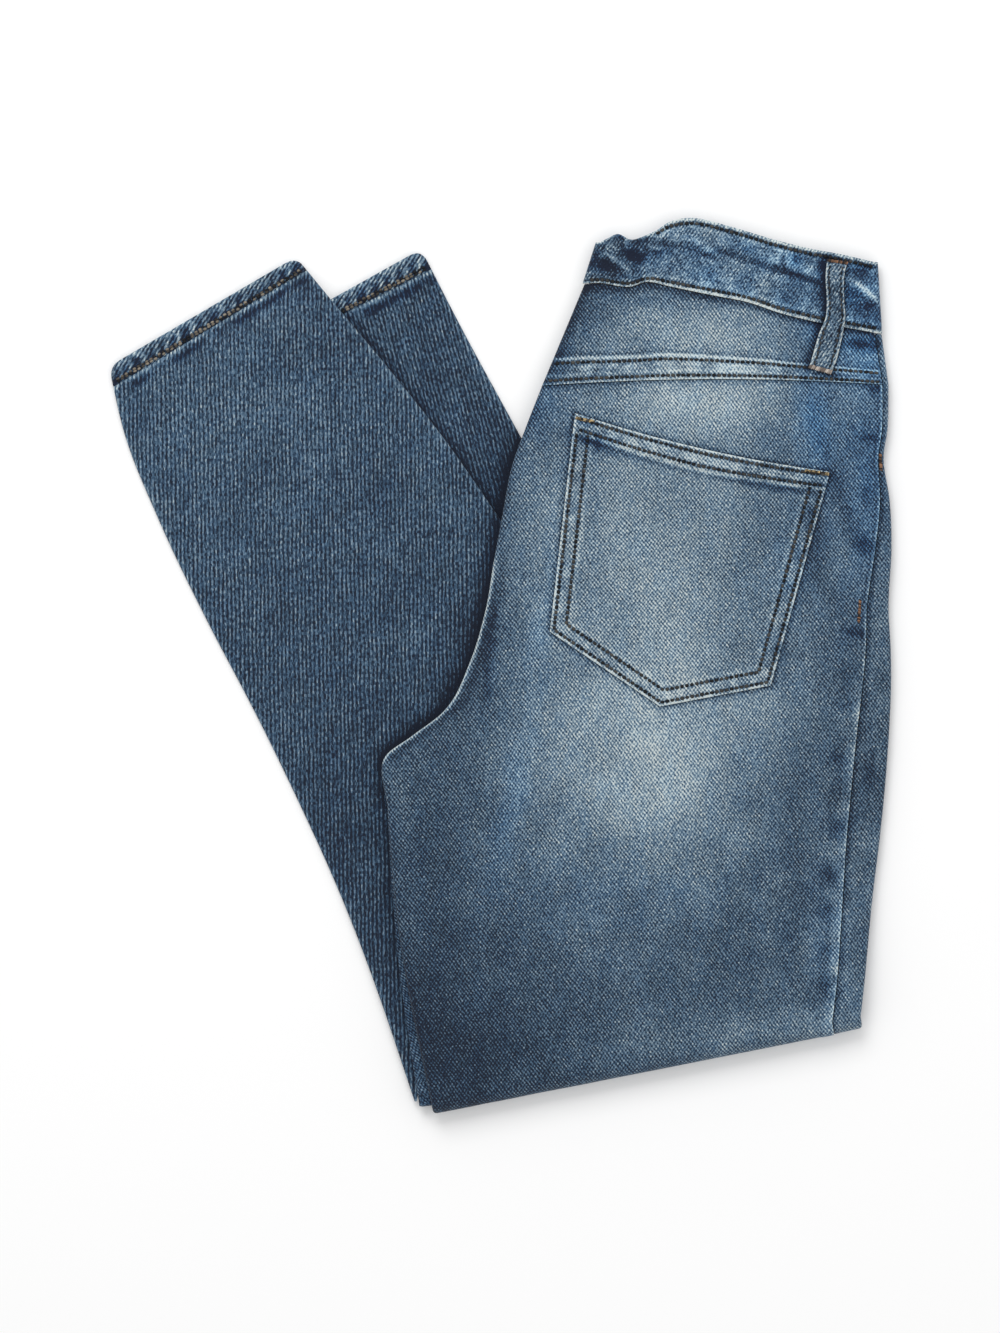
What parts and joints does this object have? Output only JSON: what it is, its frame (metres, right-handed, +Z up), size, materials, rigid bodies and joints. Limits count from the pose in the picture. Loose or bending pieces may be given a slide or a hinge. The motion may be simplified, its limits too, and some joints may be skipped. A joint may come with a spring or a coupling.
{
  "type": "folded jeans",
  "caption": "Tapered denim jeans folded in half and at the knee, lying flat with one back, its pocket, the waistband and both ankle hems showing.",
  "frame": {"origin": "middle of the bounding box, on the surface that the jeans lie on", "axes": "+Z up from the surface, +Y towards the waistband, +X towards the side seam that shows"},
  "size_m": [0.4456, 0.5102, 0.0176],
  "materials": {
    "denim_seat": "washed mid-blue denim, faded pale over the seat",
    "denim_pocket": "washed mid-blue denim, paler at the edges",
    "denim_waistband": "washed mid-blue denim, worn pale along its edges",
    "denim_leg": "washed indigo denim",
    "denim_hem": "washed indigo denim, roped at the edge"
  },
  "bodies": {
    "root": {"back_right": "denim_seat", "yoke_right": "denim_seat", "front_right": "denim_seat", "pocket_back_right": "denim_pocket", "waistband": "denim_waistband", "belt_loop_back_right": "denim_waistband", "waistband_layers": "denim_waistband", "hidden_layers": "denim_leg", "back_right_calf": "denim_leg", "front_right_calf": "denim_leg", "back_left_calf": "denim_leg", "front_left_calf": "denim_leg", "hem_left": "denim_hem", "hem_right": "denim_hem"}
  },
  "joints": []
}
